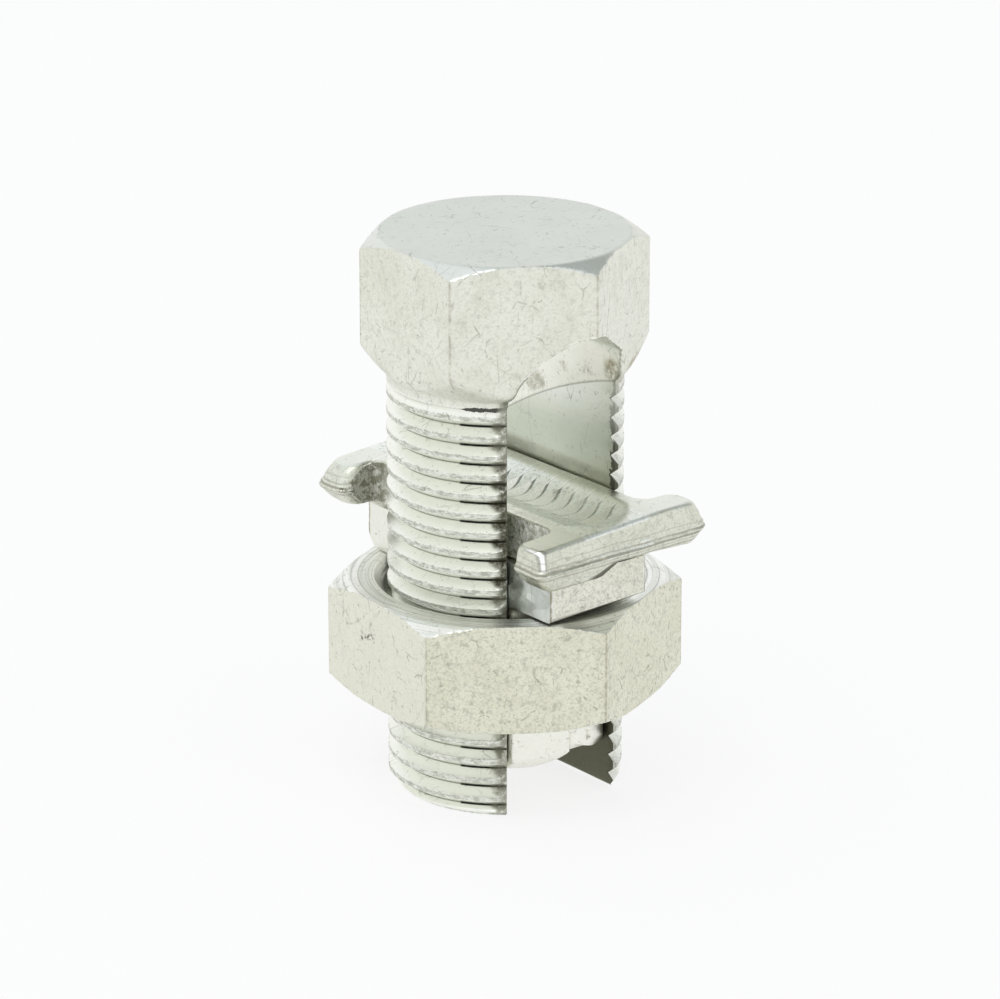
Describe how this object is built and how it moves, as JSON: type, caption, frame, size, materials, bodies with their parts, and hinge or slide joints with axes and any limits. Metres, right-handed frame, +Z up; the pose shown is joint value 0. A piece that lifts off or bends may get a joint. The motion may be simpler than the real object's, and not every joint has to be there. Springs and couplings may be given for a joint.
{
  "type": "split bolt connector",
  "caption": "Slotted hex bolt with a nut, a pressure bar and a toothed spacer that clamp wires across its slot.",
  "frame": {"origin": "on the bolt's axis, in the plane of its two leg ends", "axes": "+Z up the bolt's axis from the leg ends to the head; the wire slot runs along Y, between legs at -X and +X"},
  "size_m": [0.0298, 0.0344, 0.0533],
  "materials": {
    "bolt_tin": "satin",
    "nut_tin": "satin",
    "bar_tin": "satin",
    "spacer_tin": "satin"
  },
  "bodies": {
    "bolt": {"split_bolt": "bolt_tin"},
    "clamp": {"pressure_bar": "bar_tin"},
    "nut": {"nut": "nut_tin"},
    "spacer": {"spacer": "spacer_tin"}
  },
  "joints": [
    {"name": "clamp_slide", "type": "slide", "parent": "bolt", "child": "clamp", "axis": [0, 0, 1], "range_m": [-0.0097, 0.0027]},
    {"name": "nut_turn", "type": "hinge", "parent": "clamp", "child": "nut", "pos_m": [0, 0, 0.01495], "axis": [0, 0, 1], "range_deg": [-1890, 525]},
    {"name": "spacer_slide", "type": "slide", "parent": "clamp", "child": "spacer", "axis": [0, 0, 1], "range_m": [0, 0.0107]}
  ],
  "couplings": [
    {"joint": "clamp_slide", "follows": "nut_turn", "m_per_rad": 0.00029332}
  ]
}
